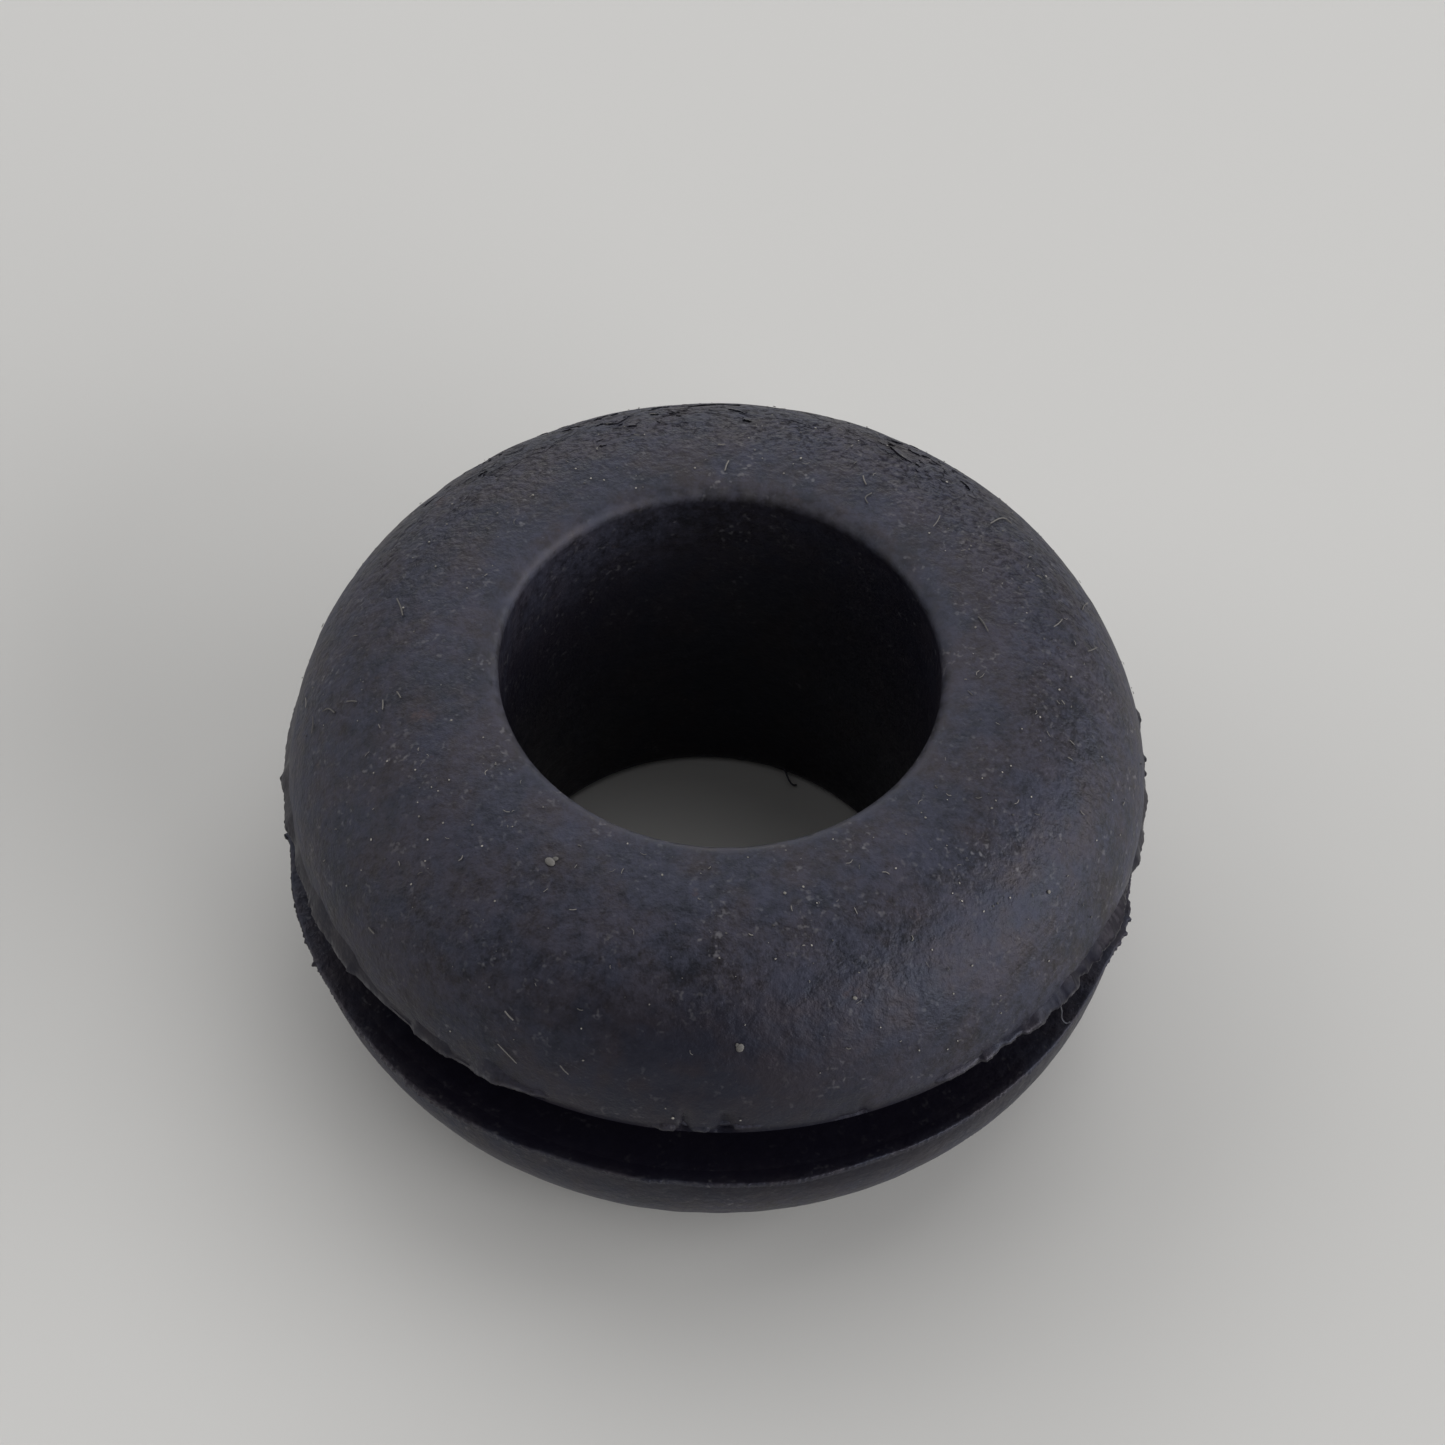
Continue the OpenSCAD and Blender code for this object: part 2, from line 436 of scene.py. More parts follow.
# How the moulded face departs from the true form, inward unless said, and where it has perished.
# Lengths in millimetres, directions in degrees round the axis.
faceFlaws = {
    "waveWidth": 2.6,
    "wave": 0.035,
    "rippleWidth": 0.7,
    "ripple": 0.026,
    "flawsFrom": (6.7, 8.0),
    "trueAbove": 0.1,  # the groove and this much over it keep the true form
    "flakeFacing": 112,
    "flakeSpread": 74,
    "flakeLeftSooner": 1.4,  # the flakes give out sooner to the left of there
    "flakeEnds": (0.15, 0.5),
    "flakeFrom": 8.9,
    "flakeRing": 1.4,
    "flakeMost": 0.7,
    "flakeLeast": 0.02,
    "flakeWidth": 0.75,
    "flakeStretch": (1.5, 0.9),
    "flakeEdge": (0.02, 0.16),
    "flake": 0.025,
    "crackStretch": 1.8,
    "pitFacing": 80,
    "pitSpread": 85,
    "pitFrom": 7.2,
    "pitRing": 2.4,
    "pitLeast": 0.3,
    "perishedTo": (12.5, 11.5),
    "creaseReach": (1.6, 1.2),  # past this far round or along, a crease is not felt
    "nickHeight": (9.0, 8.5),
    # painted shade in the nicks
    "nickDark": 0.9,
    "nickDarkens": 6,
    # creases as runs of (degrees, distance from the axis), then width and depth
    "creases": [
        ([(112.6, 10.3), (110.4, 9.95), (107.9, 10.35)], 0.1, 0.03),
        ([(109.0, 9.75), (107.5, 9.65)], 0.09, 0.03),
        ([(116.0, 9.3), (114.4, 9.35)], 0.08, 0.02),
        ([(116.1, 9.05), (114.7, 9.0)], 0.08, 0.02),
        ([(104.2, 10.25), (102.8, 10.2)], 0.12, 0.03),
        ([(97.5, 10.7), (93.0, 10.95), (89.0, 10.8)], 0.1, 0.03),
        ([(91.0, 10.35), (88.5, 10.15)], 0.1, 0.03),
        ([(88.4, 9.65), (86.9, 9.6)], 0.14, 0.03),
        ([(62.6, 10.25), (60.4, 10.0), (57.4, 9.95)], 0.1, 0.03),
        ([(56.9, 10.0), (55.6, 9.95)], 0.1, 0.03),
        ([(62.5, 9.3), (59.5, 9.5), (55.5, 9.4), (54.5, 9.05), (57.5, 8.85), (61.5, 8.95), (62.5, 9.3)],
         0.08, 0.04),
        ([(49.8, 10.6), (47.0, 10.5), (46.4, 10.2)], 0.12, 0.03),
        ([(140.5, 10.5), (137.5, 10.7), (134.5, 10.5)], 0.12, 0.02),
        ([(143.0, 10.0), (139.0, 10.2)], 0.12, 0.02),
        ([(132.0, 10.4), (128.5, 10.6), (126.0, 10.3)], 0.12, 0.02),
        ([(-94.4, 12.35), (-93.4, 12.3)], 0.4, 0.06),
        ([(-90.2, 12.35), (-89.4, 12.35)], 0.35, 0.05)],
    # nicks torn out of the upper lip: degrees, half width in degrees, depth
    "nicks": [
        (-91.5, 0.5, 0.14), (-86.3, 1.1, 0.16), (-68.3, 0.6, 0.08), (-70.6, 1.6, 0.05),
        (-110.5, 0.6, 0.05)],
    # smears of earth: degrees, distance from the axis, half width round and along
    "smears": [
        (142.8, 10.75, 0.5, 0.3), (-163.5, 8.8, 0.35, 0.75), (-75.3, 8.24, 0.3, 0.3),
        (-68.1, 11.14, 0.3, 0.3)],
    # how far the moulding stands fuller than true on its right and far sides, by degrees
    "fuller": [
        (-180, 0), (-32, 0), (-16, 0.08), (2, 0.13), (12, 0.13), (22, 0.12), (70, 0.14), (85, 0.1),
        (100, 0.07), (125, 0.03), (140, 0), (180, 0)],
    "fullerRing": (8.6, 10.6),
}


# Degrees from one direction round to another, the short way
def turnFrom(degrees, facing):
    return (degrees - facing + 180) % 360 - 180


def bell(offset, spread):
    return math.exp(-(offset / spread) ** 2)


def leanAt(r):
    return math.asin(min(1, max(0, (r - landR) / shoulderR)))


# Distance over the face from the axis, so that a pattern isn't squeezed where the shoulder falls away
def alongShoulder(r):
    return r if r < landR else landR + shoulderR * leanAt(r)


def fullerBy(degrees, r):
    return fromPairs(faceFlaws["fuller"], degrees) * smoothStep(*faceFlaws["fullerRing"], r)


def flakinessFrom(r):
    return smoothStep(faceFlaws["flakeFrom"], faceFlaws["flakeFrom"] + faceFlaws["flakeRing"], r)


def nearestCrease(flat, ends):
    first, last = ends
    run = last - first
    share = min(1, max(0, (flat - first).dot(run) / max(run.length_squared, 1e-9)))
    return (flat - first - run * share).length


def layCreases():
    laid = []
    for points, width, depth in faceFlaws["creases"]:
        middle = math.radians(points[0][0])
        flat = [Vector(((math.radians(a) - middle) * r, alongShoulder(r))) for a, r in points]
        laid.append((middle, list(zip(flat, flat[1:])), width, depth))
    return laid


def sinkBy(co, azimuth, r, creases):
    f = faceFlaws
    sink = f["wave"] * (0.5 + 0.5 * noise.noise(co / f["waveWidth"]))
    sink += f["ripple"] * (0.5 + 0.5 * noise.noise(co / f["rippleWidth"]))
    if co.z > highWall:
        sink -= fullerBy(math.degrees(azimuth), r)
    along = alongShoulder(r)
    facing = bell(turnFrom(math.degrees(azimuth), f["flakeFacing"]), f["flakeSpread"]) * flakinessFrom(r)
    if facing > f["flakeLeast"]:
        wide, high = f["flakeStretch"]
        stretched = Vector((azimuth * r / wide, along / high, 3.0)) / f["flakeWidth"]
        sink += f["flake"] * facing * smoothStep(*f["flakeEdge"], noise.noise(stretched))
    for middle, runs, width, depth in creases:
        across = ((azimuth - middle + math.pi) % math.tau - math.pi) * r
        if abs(across) > f["creaseReach"][0] or abs(along - runs[0][0].y) > f["creaseReach"][1]:
            continue
        near = min(nearestCrease(Vector((across, along)), ends) for ends in runs)
        sink += depth * bell(near, width)
    return sink


# Where the finish and the painted shade change. Painted shade is 0 on the open face, 0.5 in the bore and 1
# deep in the groove.
# Directions are in degrees round the axis, lengths in millimetres, and a pair is where a change starts
# and where it is complete.
finishZones = {
    "grooveShade": [
        (-180, 0.36), (-168, 0.36), (-157, 0.56), (-147, 0.72), (-130, 0.95), (-60, 0.95), (-45, 0.76),
        (-36, 0.58), (-28, 0.36), (180, 0.36)],
    "lowerShoulderShade": [
        (-180, 0.1), (-130, 0.05), (-108, 0.4), (-90, 0.8), (-66, 0.95), (-40, 0.9), (-10, 0.4),
        (180, 0.2)],
    # painted shade by height up the land of the upper lip
    "landShade": [(7.8, 1.0), (7.96, 0.86), (8.12, 0.66), (8.27, 0.3), (8.5, 0.14), (8.9, 0.0), (20, 0.0)],
    # painted shade on the near edge, where little light falls
    "frontShade": 0.5,
    "frontShadeFacing": -88,
    "frontShadeSpread": 26,
    "frontShadeRing": (9.8, 11.8),
    # the bore, in painted shade, lighter high on one side where the bloom shows and darker further down;
    # depths are below its mouth
    "bore": 0.5,
    "boreBloom": 0.34,
    "boreBloomFacing": 118,
    "boreBloomSpread": 52,
    "boreBloomDepth": (7, 1),
    "boreDeepShade": 0.22,
    "boreDeepShadeDepth": (1, 5),
    "mouthDepth": (0.28, 0.42),
    # the groove, in painted shade by degrees round, with less of it on the edge of its lower lip
    "grooveRing": (9.8, 11.4),
    "lowerLipGrey": 0.45,
    "lowerLipRing": (12.25, 12.55),
    # painted shade down the land of the upper lip, all the way where its flash is torn away and elsewhere
    # only under the lip's edge
    "tornStart": (-124, -112),
    "tornEnd": (-40, -52),
    "lipHeight": (8.3, 8.2),
    "landTop": 8.9,
    # heights over which painted shade on the lower shoulder grows towards the groove
    "lowerHeight": (3.6, 5.0),
    # dust round the bore's mouth, by degrees, and the smooth face there
    "mouthDust": [
        (-180, 0.3), (-150, 0.1), (0, 0.1), (50, 0.22), (90, 0.28), (112, 0.14), (140, 0.16), (165, 0.22),
        (180, 0.2)],
    "dustRing": (0.14, 0.15),  # how far out from the bore's wall, and how wide
    "dustDepth": 0.4,
    "dustAmount": 0.8,
    "dustPatch": 0.3,
    "mouthPolish": (0.8, 0.35),
    "polishDepth": 0.6,
    # grey scuffs on the side near the bench, worst at one place, and a grey line on the edge of the upper
    # land, partly a scuff and partly a painted highlight
    "scuff": 0.35,
    "scuffWorst": 0.6,
    "scuffFacing": -128,
    "scuffSpread": 25,
    "scuffHeight": (4.3, 2.2),
    "rim": 0.2,
    "rimFacing": 2,
    "rimSpread": 26,
    "rimHeight": (8.9, 8.4),
}


# Painted shade on the near edge of the upper face
def frontShade(r, degrees):
    zones = finishZones
    near = bell(degrees - zones["frontShadeFacing"], zones["frontShadeSpread"])
    return zones["frontShade"] * near * smoothStep(*zones["frontShadeRing"], r)


# Painted shade on the body, by place
def paintedShadeAt(r, z, degrees):
    zones = finishZones
    if r < mouthR:
        down = topFace - z
        bloom = bell(degrees - zones["boreBloomFacing"], zones["boreBloomSpread"])
        bloom *= smoothStep(*zones["boreBloomDepth"], down)
        black = smoothStep(*zones["boreDeepShadeDepth"], down)
        depth = zones["bore"] - zones["boreBloom"] * bloom + zones["boreDeepShade"] * black
        return depth * smoothStep(*zones["mouthDepth"], min(z, down))
    if lowWall - wallGap < z < highWall + wallGap:
        deep = 1 - (1 - fromPairs(zones["grooveShade"], degrees)) * smoothStep(*zones["grooveRing"], r)
        edge = smoothStep(*zones["lowerLipRing"], r) * (z < lowWall + wallGap)
        return deep * (1 - zones["lowerLipGrey"] * edge)
    if z < highWall:
        return fromPairs(zones["lowerShoulderShade"], degrees) * smoothStep(*zones["lowerHeight"], z)
    if z < zones["landTop"]:
        torn = smoothStep(*zones["tornStart"], degrees) * smoothStep(*zones["tornEnd"], degrees)
        land = fromPairs(zones["landShade"], z) * max(torn, smoothStep(*zones["lipHeight"], z))
        return max(land, frontShade(r, degrees))
    return frontShade(r, degrees)


def marFace(bm):
    f = faceFlaws
    zones = finishZones
    paintedShade, wornAndGlint, flaky, pitted, smeared, polished = (
        bm.verts.layers.float.new(layer) for layer in faceLayers)
    unrolled = bm.verts.layers.float_vector.new("unrolled")
    creases = layCreases()
    bm.normal_update()
    for vert in bm.verts:
        co = vert.co
        azimuth = math.atan2(co.y, co.x)
        r = math.hypot(co.x, co.y)
        degrees = math.degrees(azimuth)
        vert[paintedShade] = paintedShadeAt(r, co.z, degrees)

        # The bore's mouth is smooth, and dust gathers round it
        polishFrom, polishTo = zones["mouthPolish"]
        vert[polished] = smoothStep(boreR + polishFrom, boreR + polishTo, r) * (
            co.z > topFace - zones["polishDepth"])
        dustOut, dustWide = zones["dustRing"]
        ring = bell(r - boreR - dustOut, dustWide) * (co.z > topFace - zones["dustDepth"])
        patchy = zones["dustAmount"] * (1 + noise.noise(co / zones["dustPatch"]))
        vert[wornAndGlint] = fromPairs(zones["mouthDust"], degrees) * ring * patchy
        if r < mouthR or lowWall - wallGap < co.z < highWall + f["trueAbove"]:
            continue

        scuffed = zones["scuff"] + zones["scuffWorst"] * bell(
            degrees - zones["scuffFacing"], zones["scuffSpread"])
        vert[wornAndGlint] += scuffed * smoothStep(*zones["scuffHeight"], co.z)
        upper = co.z > highWall
        if upper:
            # A grey line on the edge of the land, partly a scuff and partly a painted highlight
            vert[wornAndGlint] += zones["rim"] * bell(degrees - zones["rimFacing"], zones["rimSpread"]) * smoothStep(
                *zones["rimHeight"], co.z)
            vert[smeared] = max(
                math.exp(-(math.radians(degrees - at) * r / wide) ** 2 - ((r - out) / long) ** 2)
                for at, out, wide, long in f["smears"])

            # The skin perished most where it faces up
            faded = smoothStep(*f["perishedTo"], r)
            turned = turnFrom(degrees, f["pitFacing"])
            vert[pitted] = (f["pitLeast"] + (1 - f["pitLeast"]) * faded) * bell(
                turned, f["pitSpread"]) * smoothStep(f["pitFrom"], f["pitFrom"] + f["pitRing"], r)
            off = turnFrom(degrees, f["flakeFacing"])
            most = bell(off * (f["flakeLeftSooner"] if off > 0 else 1.0), f["flakeSpread"])
            vert[flaky] = f["flakeMost"] * faded * most * smoothStep(
                *f["flakeEnds"], most) * flakinessFrom(r)
            vert[unrolled] = (math.radians(off) * r / f["crackStretch"], alongShoulder(r), 0)
        sink = sinkBy(co, azimuth, r, creases if upper else [])
        vert.co = co - vert.normal * sink * smoothStep(*f["flawsFrom"], r)
        if upper:
            # Nicks torn out of the upper lip, with painted shade in them
            for at, half, depth in f["nicks"]:
                bite = bell(degrees - at, half) * smoothStep(*f["nickHeight"], co.z)
                vert.co -= Vector((co.x, co.y, 0)).normalized() * bite * depth
                vert[paintedShade] = max(vert[paintedShade], bite * min(f["nickDark"], depth * f["nickDarkens"]))


def makeGrommet(material):
    s = grommetSizes
    grooveR = s["grooveDiameter"] / 2
    root = s["grooveRootRadius"]
    edge = s["boreEdgeRadius"]
    corners = [
        (boreR, 0, edge, s["edgeSteps"]), (flangeR, 0, shoulderR, s["lowerShoulderSteps"]),
        (flangeR, lowWall, 0, 0), (grooveR, lowWall, root, s["rootSteps"]),
        (grooveR, highWall, root, s["rootSteps"]), (flangeR, highWall, s["lipRadius"], s["lipSteps"])]
    corners += [(flangeR, highWall + up, 0, 0) for up in s["extraRows"]]
    corners += [
        (flangeR, topFace, shoulderR, s["shoulderSteps"]), (boreR, topFace, edge, s["upperEdgeSteps"])]
    bm = bmesh.new()
    for r, z, _, _ in corners:
        bm.verts.new((r, 0, z))
    joinRing(bm)
    for r, z, radius, steps in corners:
        if radius:
            roundCorner(bm, Vector((r, 0, z)), radius, steps)
    cutRuns(bm, s["longestRun"])
    turnRound(bm, s["turnSteps"], s["doublings"])
    marFace(bm)
    body = finishPiece(bm, "grommetBody", material)
    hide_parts("grommet")


# Flash: the thin fin squeezed out where the mould's halves meet, torn off all round by hand.
# Lengths in millimetres. Reach beyond the flange, and droop of its rim, by degrees round the axis.
upperFlash = {
    "top": 8.24,
    "ramp": [
        (-180, 1.0), (-118, 1.0), (-112, 0.25), (-45, 0.25), (-38, 0.5), (-20, 0.5), (-12, 0.9),
        (180, 0.9)],
    "thickness": 0.14,
    "root": 12.2,
    "rimRadius": 0.05,
    "ragged": 0.03,
    "teeth": 0.06,
    # painted shade on the fin's top, by degrees
    "paintedShade": [
        (-180, 0.78), (-124, 0.78), (-116, 0.2), (-60, 0.2), (-47, 0.6), (-36, 1.0), (-16, 1.0),
        (-8, 0.8), (20, 0.8), (45, 0.2), (180, 0.2)],
    # painted shade on the fin's underside
    "under": 1.0,
    "crumple": [(-180, 0.0), (-50, 0.0), (-36, 0.16), (-16, 0.16), (-8, 0.03), (180, 0.0)],
    "rimWidth": 0.25,
    # the torn rim by degrees: over 0 pale, partly rubbed and partly a painted highlight along it; under 0
    # black
    "rim": [
        (-180, -1), (-166, -1), (-158, 0.1), (-152, 0.45), (-114, 0.45), (-108, 0), (-58, 0), (-52, 0.3),
        (-34, 0.4), (-30, 0), (-23, -1), (180, -1)],
    "reach": [
        (-180, 0.18), (-177, 0.16), (-175, 0.24), (-172, 0.14), (-167.5, 0.2), (-164, 0.02), (-161, 0.14),
        (-156, 0.1), (-154, 0.17), (-151.8, 0.22), (-148, 0.15), (-144.5, 0.19), (-143, 0.18),
        (-141, 0.06), (-137, 0.02), (-133, -0.02), (-131.2, -0.03), (-129.6, 0.07), (-127.8, 0.07),
        (-124.6, 0.09), (-123.4, 0.0), (-121.3, -0.02), (-118.3, 0.2), (-116.6, 0.22), (-115.4, 0.14),
        (-112, 0.06), (-109.5, -0.02), (-108.5, -0.12), (-96.5, -0.12), (-95.4, -0.02), (-94.2, 0.06),
        (-92.9, 0.04), (-92.2, -0.12), (-91, -0.12), (-90.2, 0.01), (-88.8, 0.03), (-87.6, -0.12),
        (-85.6, -0.12), (-84.9, 0.01), (-82.5, 0.0), (-80, -0.12), (-59, -0.12), (-57.6, 0.03),
        (-56.3, 0.1), (-54.6, 0.11), (-52.6, 0.07), (-51.5, 0.02), (-50.6, 0.18), (-49.1, 0.14),
        (-47.6, 0.05), (-46.4, 0.13), (-44.9, 0.09), (-43.3, 0.24), (-41.2, 0.3), (-39.2, 0.16),
        (-36.6, 0.26), (-34.7, 0.3), (-33.2, 0.26), (-32, 0.1), (-30.6, 0.2), (-29.2, 0.15), (-28, 0.27),
        (-26.6, 0.24), (-24.5, 0.33), (-22, 0.32), (-20.5, 0.28), (-19, 0.22), (-17, 0.12), (-14, 0.05),
        (-12.8, 0.09), (-11, 0.24), (-9, 0.19), (-7, 0.23), (-5, 0.17), (-1.3, 0.25), (2, 0.19),
        (5.6, 0.25), (9, 0.22), (13, 0.4), (15, 0.3), (20, 0.32), (24, 0.28), (32, 0.22), (45, 0.2),
        (90, 0.12), (140, 0.12), (160, 0.14), (172, 0.17), (180, 0.18)],
    "droop": [
        (-180, 0.33), (-121, 0.33), (-118, 0.05), (-97, 0.0), (-95.6, 0.16), (-92.4, 0.16), (-92, 0),
        (-90.8, 0.14), (-88, 0.14), (-87.4, 0), (-45, 0.0), (-40, 0.12), (-20, 0.12), (-12, 0.33),
        (-6, 0.33), (0, 0.16), (60, 0.16), (100, 0.33), (180, 0.33)],
}

lowerFlash = {
    "top": 5.356,
    "ramp": [(-180, -0.001), (180, -0.001)],
    "thickness": 0.2,
    "root": 12.2,
    "rimRadius": 0.05,
    "ragged": 0.05,
    "teeth": 0.16,
    # painted shade on the fin's top, times the groove's painted shade there, then on its underside
    "paintedShade": [(-180, 1.0), (180, 1.0)],
    "under": 0.5,
    "crumple": [(-180, 0.0), (180, 0.0)],
    "rimWidth": 0.08,
    "rim": [
        (-180, -1), (-160, -1), (-152, 0.1), (-145, 0.3), (-112, 0.3), (-104, 0.15), (-40, 0.1), (-28, 0),
        (180, 0)],
    "reach": [
        (-180, 0.17), (-176, 0.2), (-171.8, 0.09), (-164, 0.19), (-157, 0.2), (-149, 0.19), (-140, 0.22),
        (-128, 0.27), (-115, 0.16), (-108, 0.06), (-100, 0.07), (-96, 0.12), (-92.4, 0.04), (-88, 0.08),
        (-76, 0.14), (-70, 0.07), (-66, 0.04), (-60, 0.08), (-38, 0.05), (-24, 0.02), (-20.7, 0.03),
        (-18.3, 0.09), (-15.9, 0.18), (-13.4, 0.22), (-10.5, 0.22), (-8.4, 0.1), (40, 0.12), (120, 0.18),
        (180, 0.17)],
    "droop": [(-180, 0), (180, 0)],
}


# What both fins share, in millimetres. A noise has rows of how fast it changes by degrees, its place
# in the noise and its share, but the creases change by degrees and by distance from the axis.
flashShape = {
    "rootDrop": 0.05,
    "rampAbove": 0.05,
    "rimSteps": 4,
    "underRadius": 0.03,
    "underSteps": 2,
    "longestRun": 0.04,
    "turnSteps": 75,
    "doublings": 5,
    "paleFrom": 0.92,  # share of the way out from the root where the pale rim, partly a painted highlight, starts
    "fleck": [(0.7, 31, 1.0)],
    "fleckEnds": (-0.1, 0.5),
    "fleckLeast": 0.3,
    "faceEdge": 0.03,
    "swing": [(0.3, 0, 1.0), (0.9, 5, 0.6)],
    "swingShare": 0.2,
    "nick": [(2.2, 9, 1.0)],
    "fineNick": 9,
    "fineNickShare": 0.5,
    "tooth": [(0.8, 17, 1.0)],
    "toothEnds": (0.25, 0.6),
    "toothReach": (0.1, 0.2),  # flash shorter than this has no teeth
    "raggedLeast": 0.3,
    "raggedGrows": 6,
    "frayPower": 20,
    "creases": [(0.45, 2.5, 1.0), (1.2, 5, 0.5)],
}


def rimNoise(azimuth, seed, rows):
    return sum(share * noise.noise(Vector((azimuth * fast, seed, row))) for fast, row, share in rows)


def makeFlash(name, flash, material, seed):
    f = flashShape
    top, bottom, root = flash["top"], flash["top"] - flash["thickness"], flash["root"]
    bm = bmesh.new()
    for r, z in ((root, bottom - f["rootDrop"]), (flangeR, bottom), (flangeR, top), (root, top)):
        bm.verts.new((r, 0, z))
    joinRing(bm)
    roundCorner(bm, Vector((flangeR, 0, top)), flash["rimRadius"], f["rimSteps"])
    roundCorner(bm, Vector((flangeR, 0, bottom)), f["underRadius"], f["underSteps"])
    cutRuns(bm, f["longestRun"])
    turnRound(bm, f["turnSteps"], f["doublings"])
    wornAndGlint = bm.verts.layers.float.new("wornAndGlint")
    paintedShade = bm.verts.layers.float.new("paintedShade")
    for vert in bm.verts:
        azimuth = math.degrees(math.atan2(vert.co.y, vert.co.x))
        r = math.hypot(vert.co.x, vert.co.y)
        out = (r - root) / (flangeR - root)

        # The rim is pale where rubbed, partly as a painted highlight along it, and black where its table is
        # under 0
        rim = fromPairs(flash["rim"], azimuth)
        rim *= smoothStep(1 - flash["rimWidth"] if rim < 0 else f["paleFrom"], 1.0, out)
        fleck = f["fleckLeast"] + smoothStep(*f["fleckEnds"], rimNoise(azimuth, seed, f["fleck"]))
        vert[wornAndGlint] = max(0, rim) * fleck * smoothStep(bottom, top, vert.co.z)
        # Painted shade on the fin: by degrees on its top, in full on its underside, times the groove's on
        # the lower fin, and black along a torn rim
        depth = fromPairs(flash["paintedShade"], azimuth)
        under = smoothStep(top - f["faceEdge"], bottom + f["faceEdge"], vert.co.z)
        depth += (flash["under"] - depth) * under
        if flash is lowerFlash:
            depth *= paintedShadeAt(r, lowWall, azimuth)
        vert[paintedShade] = max(depth, -rim)

        # The torn rim swings in and out, frays and breaks into teeth
        reach = fromPairs(flash["reach"], azimuth)
        swing = rimNoise(azimuth, seed, f["swing"])
        nick = rimNoise(azimuth, seed, f["nick"])
        nick += f["fineNickShare"] * noise.noise(vert.co * f["fineNick"])
        tooth = smoothStep(*f["toothEnds"], rimNoise(azimuth, seed, f["tooth"]))
        tooth *= smoothStep(*f["toothReach"], reach)
        ragged = flash["ragged"] * min(1, f["raggedLeast"] + f["raggedGrows"] * max(0, reach))
        frayed = f["swingShare"] * reach * swing + ragged * nick + flash["teeth"] * tooth
        scale = (r + reach * out + frayed * out ** f["frayPower"]) / r
        if vert.co.z > bottom + f["rampAbove"]:
            vert.co.z += fromPairs(flash["ramp"], azimuth) * (1 - out)
        vert.co.x *= scale
        vert.co.y *= scale
        crease = sum(
            share * noise.noise(Vector((azimuth * fast, r * outFast, seed)))
            for fast, outFast, share in f["creases"])
        vert.co.z -= fromPairs(flash["droop"], azimuth) * out * out
        vert.co.z -= fromPairs(flash["crumple"], azimuth) * out * crease
    piece = finishPiece(bm, name, material)


# Each pass cuts the corners of a run of points, so that it bends softly
def soften(points, passes):
    for _ in range(passes):
        cut = [points[0]]
        for first, second in zip(points, points[1:]):
            cut += [first.lerp(second, 0.25), first.lerp(second, 0.75)]
        points = cut + [points[-1]]
    return points


# A place on the upper face, lifted off it, and the way it faces there
def facePoint(azimuth, r, lift=0.0):
    turn = math.radians(azimuth)
    lean = leanAt(r)
    high = topFace - shoulderR * (1 - math.cos(lean))
    around = Vector((math.cos(turn), math.sin(turn), 0))
    outward = around * math.sin(lean) + Vector((0, 0, math.cos(lean)))
    lift += fullerBy(turnFrom(azimuth, 0), r)
    return around * r + Vector((0, 0, high)) + outward * lift, outward


strandShape = {"sides": 5, "endShare": 0.5, "lap": 1.03}


def addStrand(bm, points, thickness):
    made = []
    for i, (first, second) in enumerate(zip(points, points[1:])):
        run = second - first
        turn = run.to_track_quat("Z", "Y").to_matrix().to_4x4()
        thin = [strandShape["endShare"] if end in (0, len(points) - 1) else 1.0 for end in (i, i + 1)]
        made += bmesh.ops.create_cone(
            bm, cap_ends=True, segments=strandShape["sides"], radius1=thin[0] * thickness / 2,
            radius2=thin[1] * thickness / 2, depth=run.length * strandShape["lap"],
            matrix=Matrix.Translation((first + second) / 2) @ turn)["verts"]
    return made


# Perished skin lifting off the far shoulder in small plates, each with its free edge towards the bore.
# Lengths in millimetres and directions in degrees.
flakeSettings = {
    "seed": 3,
    "thickness": 0.018,
    "creasesFrom": (0, 120),  # creases between these directions get a plate along them
    "width": (0.3, 0.6),
    "lift": (0.014, 0.028),
    "small": 240,
    # two small plates in three gather about the first direction, and the rest about the other
    "smallAt": (108, 20),
    "otherSmallAt": (56, 9),
    "smallOut": (9.7, 12.9),
    "smallLength": (0.1, 0.4),
    "smallWidth": (0.06, 0.2),
    "smallLift": (0.008, 0.024),
    "smallTilt": 0.12,
    "smallBow": 0.1,
    "lengthAt": 12,  # distance from the axis at which a length is turned to degrees
    # how finely a plate is cut along its free edge, and the fewest and most steps
    "step": 0.09,
    "steps": (3, 12),
    "taperEnd": 0.04,
    "fray": 0.05,
    "frayFine": 6,
    "curl": 1.5,
    "uneven": 0.5,
    "unevenFine": 3,
    "sunk": 0.04,
    "rootSunk": 0.02,
    "leanMost": 1.5,
}


